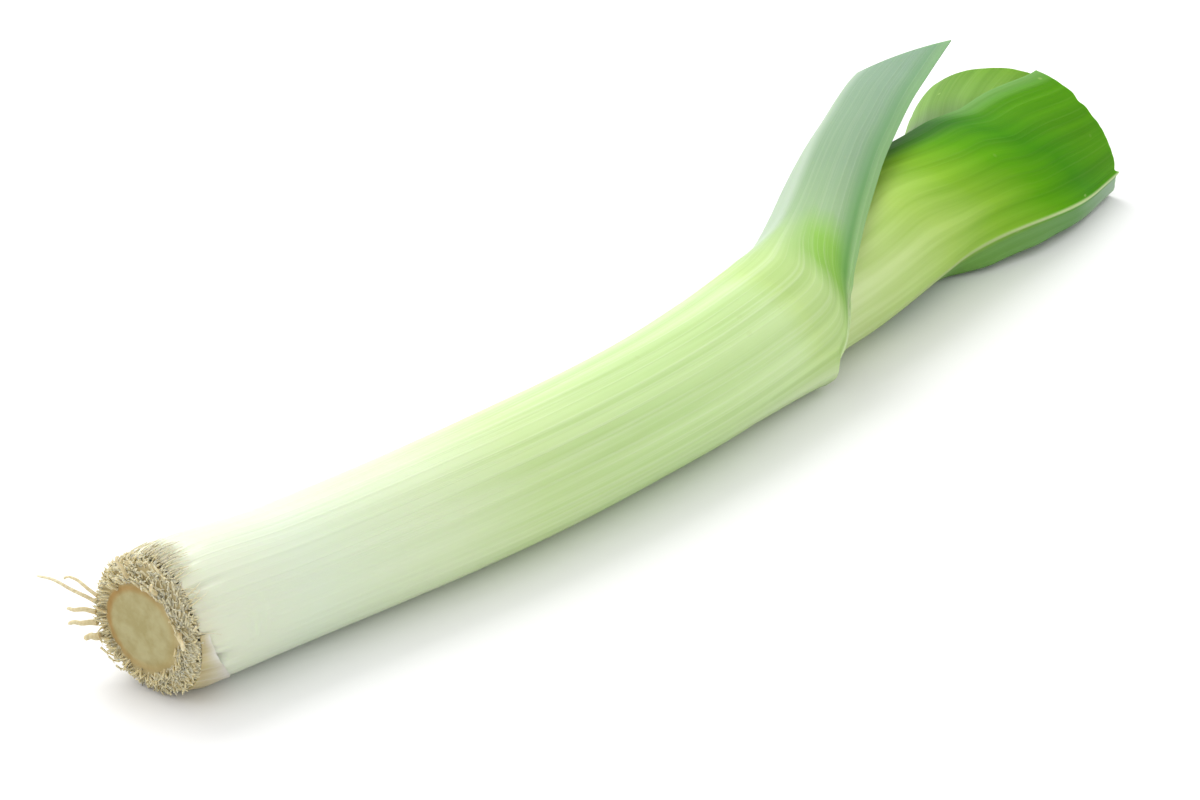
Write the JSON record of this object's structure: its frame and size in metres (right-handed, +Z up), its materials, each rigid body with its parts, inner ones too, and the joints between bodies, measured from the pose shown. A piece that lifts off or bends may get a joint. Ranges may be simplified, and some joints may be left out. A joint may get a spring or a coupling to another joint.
{
  "type": "leek",
  "caption": "Trimmed leek lying on its side: white shaft with cut root plate, nested sheaths opening into folded green blades cut square at the end.",
  "frame": {"origin": "on the table, under the middle of the leek's bounding box", "axes": "+X along the leek from the roots to the blades, +Z up"},
  "size_m": [0.4126, 0.0964, 0.0617],
  "materials": {
    "stem_plate": "dull, dry cut stem tissue",
    "roots": "dull dry root",
    "outer_leaf": "satin waxy leaf skin",
    "leaf_2": "satin waxy leaf skin",
    "leaf_3": "satin waxy leaf skin",
    "inner_leaves": "satin leaf skin",
    "heart_leaf": "satin pale leaf"
  },
  "bodies": {
    "root": {"stem_plate": "stem_plate", "root_1": "roots", "root_2": "roots", "root_3": "roots", "root_4": "roots", "root_5": "roots", "root_6": "roots", "root_7": "roots", "root_8": "roots", "outer_leaf": "outer_leaf", "leaf_2": "leaf_2", "leaf_3": "leaf_3", "leaf_4": "inner_leaves", "leaf_5": "inner_leaves", "leaf_6": "inner_leaves", "leaf_7": "inner_leaves", "heart_leaf": "heart_leaf"}
  },
  "joints": []
}
